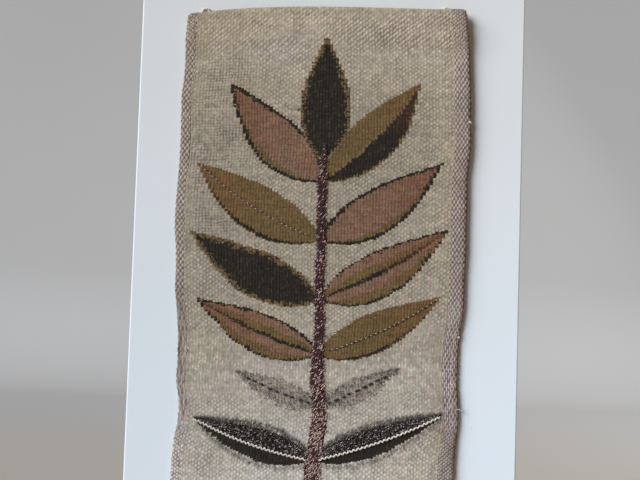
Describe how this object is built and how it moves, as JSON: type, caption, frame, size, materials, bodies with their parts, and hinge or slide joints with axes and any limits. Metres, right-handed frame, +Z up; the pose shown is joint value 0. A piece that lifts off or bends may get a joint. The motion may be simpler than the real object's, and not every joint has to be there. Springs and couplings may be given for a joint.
{
  "type": "handwoven tapestry mounted on a flat board",
  "caption": "Long handwoven tapestry strip with uneven edges, held flat on a painted wall board, with small yarn loops behind its top edge.",
  "frame": {"origin": "centre of the board's back face, where it meets the wall", "axes": "+Z up along the board, +Y into the wall, -Y towards the viewer, +X to the viewer's right"},
  "size_m": [0.4, 0.0278, 0.96],
  "materials": {
    "board_paint": "wood fibre board with smooth satin off-white paint",
    "woven_wool": "matt handwoven wool and linen in undyed beige, olive, charcoal, dusty pink and wine",
    "loop_yarn": "matt undyed yarn"
  },
  "bodies": {
    "root": {"board": "board_paint", "tapestry": "woven_wool", "loop_left": "loop_yarn", "loop_right": "loop_yarn"}
  },
  "joints": []
}
